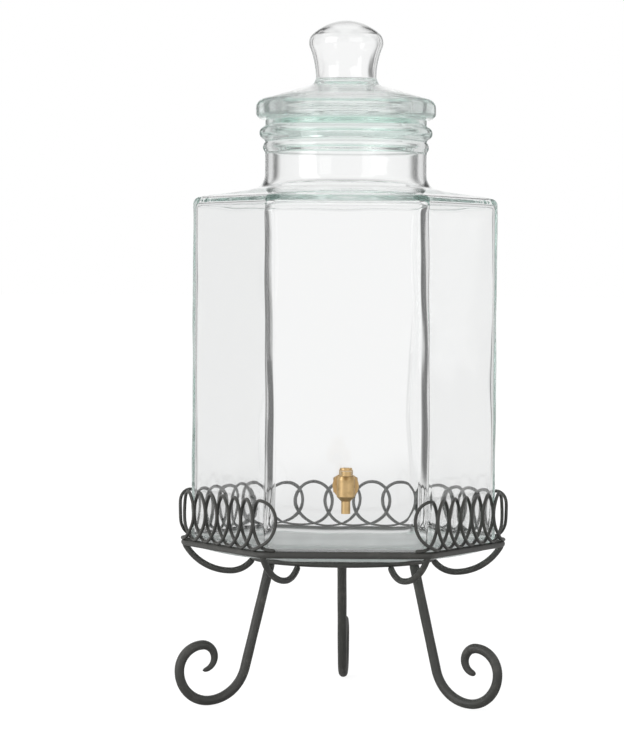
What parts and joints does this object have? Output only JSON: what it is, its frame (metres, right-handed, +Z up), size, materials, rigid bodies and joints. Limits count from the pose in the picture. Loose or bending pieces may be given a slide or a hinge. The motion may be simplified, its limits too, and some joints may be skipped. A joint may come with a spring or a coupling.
{
  "type": "glass drinks dispenser",
  "caption": "Six-sided clear glass drinks jar with a knobbed glass lid and a brass tap, standing in a dark iron stand with a looped wire gallery and scrolled legs.",
  "frame": {"origin": "on the floor under the middle of the jar", "axes": "+Z up along the jar's axis, tap towards -Y, +X to the right when facing the tap"},
  "size_m": [0.2821, 0.3151, 0.5782],
  "materials": {
    "jar_glass": "clear with a faint green cast, slightly wavy",
    "lid_glass": "clear with a green cast in the thick parts",
    "tap_brass": "satin brass",
    "tap_rubber": "matte rubber",
    "stand_iron": "matte dark paint on forged iron"
  },
  "bodies": {
    "stand": {"gallery_ring": "stand_iron", "seat_ring": "stand_iron", "arm_front_left": "stand_iron", "arm_front_right": "stand_iron", "arm_left": "stand_iron", "arm_right": "stand_iron", "arm_back_left": "stand_iron", "arm_back_right": "stand_iron", "leg_left": "stand_iron", "leg_right": "stand_iron", "leg_back": "stand_iron", "loops_front_left": "stand_iron", "loops_back_left": "stand_iron", "loops_back_face": "stand_iron", "loops_back_right": "stand_iron", "loops_front_right": "stand_iron"},
    "jar": {"jar": "jar_glass", "tap_body": "tap_brass", "tap_outer_gasket": "tap_rubber", "tap_inner_gasket": "tap_rubber", "tap_washer": "tap_brass", "tap_lock_nut": "tap_brass", "tap_bonnet": "tap_brass"},
    "lid": {"lid": "lid_glass"},
    "tap_key": {"tap_plug": "tap_brass", "tap_o_rings": "tap_rubber", "tap_handle": "tap_brass", "tap_handle_screw": "tap_brass"}
  },
  "joints": [
    {"name": "jar_lift", "type": "slide", "parent": "stand", "child": "jar", "axis": [0, 0, 1], "range_m": [0, 0.09]},
    {"name": "lid_lift", "type": "slide", "parent": "jar", "child": "lid", "axis": [0, 0, 1], "range_m": [0, 0.06]},
    {"name": "tap_turn", "type": "hinge", "parent": "jar", "child": "tap_key", "pos_m": [0, -0.1301, 0.1889], "axis": [0, 0, 1], "range_deg": [0, 90]}
  ]
}
